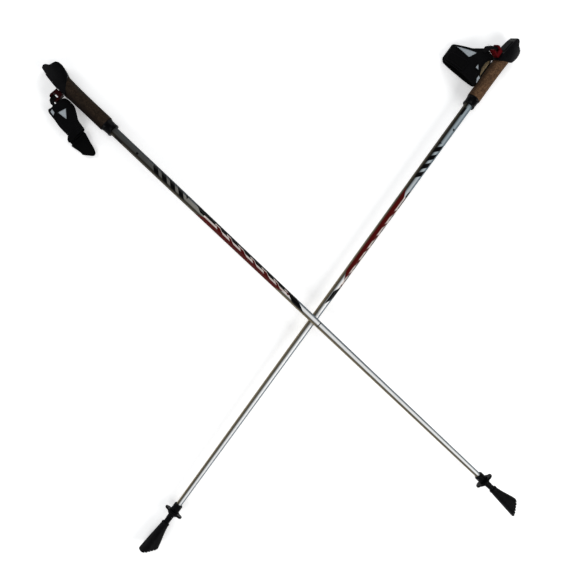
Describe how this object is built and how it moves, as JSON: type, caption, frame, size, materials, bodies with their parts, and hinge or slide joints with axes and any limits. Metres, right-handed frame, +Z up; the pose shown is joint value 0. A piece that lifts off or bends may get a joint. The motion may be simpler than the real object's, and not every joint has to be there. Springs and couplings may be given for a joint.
{
  "type": "pair of trekking poles",
  "caption": "Pair of fixed-length walking poles lying crossed, with cork grips, trigger-release glove straps, small baskets and slanted rubber paws.",
  "frame": {"origin": "under the middle of the pair's bounding box, on the floor that the poles lie on", "axes": "+Z up from the floor; +Y towards the grips' end, +X towards the lower pole's grip"},
  "size_m": [0.864, 0.926, 0.0547],
  "materials": {
    "shaft_lacquer": "glossy silver lacquer over tapered aluminium, black and red print",
    "tip_plastic": "moulded, satin",
    "carbide": "sintered hard metal",
    "basket_plastic": "moulded, satin",
    "paw_rubber": "moulded rubber, slight sheen",
    "washer_steel": "plain steel",
    "core_plastic": "hard plastic",
    "cork": "natural cork with dark speckles",
    "collar_plastic": "satin to glossy moulding",
    "head_plastic": "fine moulded grain",
    "pad_rubber": "soft-touch",
    "button_plastic": "satin with grip ridges",
    "latch_plastic": "acetal",
    "spring_steel": "drawn wire",
    "clip_plastic": "glossy red moulding",
    "pin_steel": "turned",
    "webbing": "woven",
    "cuff_fabric": "ribbed knit with stitched edges",
    "palm_fabric": "synthetic suede",
    "lining_fabric": "brushed lining",
    "panel_fabric": "smooth light panel",
    "band_fabric": "bound edge",
    "tab_fabric": "synthetic suede",
    "hook_fabric": "hook-and-loop"
  },
  "bodies": {
    "lower_pole": {"lower_shaft": "shaft_lacquer", "lower_flex_tip": "tip_plastic", "lower_carbide_tip": "carbide", "lower_grip_core": "core_plastic", "lower_cork_sleeve": "cork", "lower_grip_collar": "collar_plastic", "lower_head": "head_plastic", "lower_head_pad": "pad_rubber", "lower_latch_spring": "spring_steel"},
    "lower_release": {"lower_release_button": "button_plastic", "lower_latch_plate": "latch_plastic"},
    "lower_clip": {"lower_strap_clip": "clip_plastic", "lower_clip_pin": "pin_steel"},
    "lower_strap": {"lower_strap_webbing": "webbing", "lower_cuff_back": "cuff_fabric", "lower_cuff_palm": "palm_fabric", "lower_cuff_lining": "lining_fabric", "lower_large_panel": "panel_fabric", "lower_small_panel": "panel_fabric", "lower_thumb_loop": "band_fabric"},
    "lower_tab": {"lower_wrist_tab": "tab_fabric", "lower_hook_patch": "hook_fabric"},
    "lower_basket": {"lower_basket": "basket_plastic"},
    "lower_paw": {"lower_paw": "paw_rubber", "lower_paw_washer": "washer_steel"},
    "upper_pole": {"upper_shaft": "shaft_lacquer", "upper_flex_tip": "tip_plastic", "upper_carbide_tip": "carbide", "upper_grip_core": "core_plastic", "upper_cork_sleeve": "cork", "upper_grip_collar": "collar_plastic", "upper_head": "head_plastic", "upper_head_pad": "pad_rubber", "upper_latch_spring": "spring_steel"},
    "upper_release": {"upper_release_button": "button_plastic", "upper_latch_plate": "latch_plastic"},
    "upper_clip": {"upper_strap_clip": "clip_plastic", "upper_clip_pin": "pin_steel"},
    "upper_strap": {"upper_strap_webbing": "webbing", "upper_cuff_back": "cuff_fabric", "upper_cuff_palm": "palm_fabric", "upper_cuff_lining": "lining_fabric", "upper_large_panel": "panel_fabric", "upper_small_panel": "panel_fabric", "upper_thumb_loop": "band_fabric"},
    "upper_tab": {"upper_wrist_tab": "tab_fabric", "upper_hook_patch": "hook_fabric"},
    "upper_basket": {"upper_basket": "basket_plastic"},
    "upper_paw": {"upper_paw": "paw_rubber", "upper_paw_washer": "washer_steel"}
  },
  "joints": [
    {"name": "upper_lift", "type": "slide", "parent": "lower_pole", "child": "upper_pole", "axis": [0, 0, 1], "range_m": [0, 0.2]},
    {"name": "lower_clip_release", "type": "slide", "parent": "lower_pole", "child": "lower_clip", "axis": [-0.6835, 0.5021, 0.5299], "range_m": [0, 0.022]},
    {"name": "lower_button_press", "type": "slide", "parent": "lower_pole", "child": "lower_release", "axis": [-0.5941, -0.8044, -0.0041], "range_m": [0, 0.0027], "stiffness_N_per_m": 300, "deforming": ["lower_latch_spring"]},
    {"name": "lower_strap_swing", "type": "hinge", "parent": "lower_clip", "child": "lower_strap", "pos_m": [0.37405, 0.43321, 0.03366], "axis": [0.5941, 0.8044, 0.0041], "range_deg": [0, 100]},
    {"name": "lower_tab_open", "type": "hinge", "parent": "lower_strap", "child": "lower_tab", "pos_m": [0.28975, 0.42471, 0.01408], "axis": [-0.5941, -0.8044, -0.0041], "range_deg": [0, 120]},
    {"name": "lower_basket_turn", "type": "hinge", "parent": "lower_pole", "child": "lower_basket", "pos_m": [-0.21103, -0.39889, 0.01461], "axis": [0.5941, 0.8044, 0.0041], "continuous": true},
    {"name": "lower_paw_pull", "type": "slide", "parent": "lower_pole", "child": "lower_paw", "axis": [-0.5941, -0.8044, -0.0041], "range_m": [0, 0.045]},
    {"name": "upper_clip_release", "type": "slide", "parent": "upper_pole", "child": "upper_clip", "axis": [-0.6853, -0.7283, 0], "range_m": [0, 0.022]},
    {"name": "upper_button_press", "type": "slide", "parent": "upper_pole", "child": "upper_release", "axis": [0.728, -0.685, 0.0283], "range_m": [0, 0.0027], "stiffness_N_per_m": 300, "deforming": ["upper_latch_spring"]},
    {"name": "upper_strap_swing", "type": "hinge", "parent": "upper_clip", "child": "upper_strap", "pos_m": [-0.4122, 0.31766, 0.0131], "axis": [-0.728, 0.685, -0.0283], "range_deg": [0, 100]},
    {"name": "upper_tab_open", "type": "hinge", "parent": "upper_strap", "child": "upper_tab", "pos_m": [-0.3745, 0.25198, 0.00454], "axis": [-0.6853, -0.7283, 0], "range_deg": [0, 90]},
    {"name": "upper_basket_turn", "type": "hinge", "parent": "upper_pole", "child": "upper_basket", "pos_m": [0.34733, -0.35863, 0.04189], "axis": [-0.728, 0.685, -0.0283], "continuous": true},
    {"name": "upper_paw_pull", "type": "slide", "parent": "upper_pole", "child": "upper_paw", "axis": [0.728, -0.685, 0.0283], "range_m": [0, 0.045]}
  ],
  "couplings": [
    {"joint": "lower_button_press", "follows": "lower_clip_release", "ratio": 0.12},
    {"joint": "upper_button_press", "follows": "upper_clip_release", "ratio": 0.12}
  ]
}
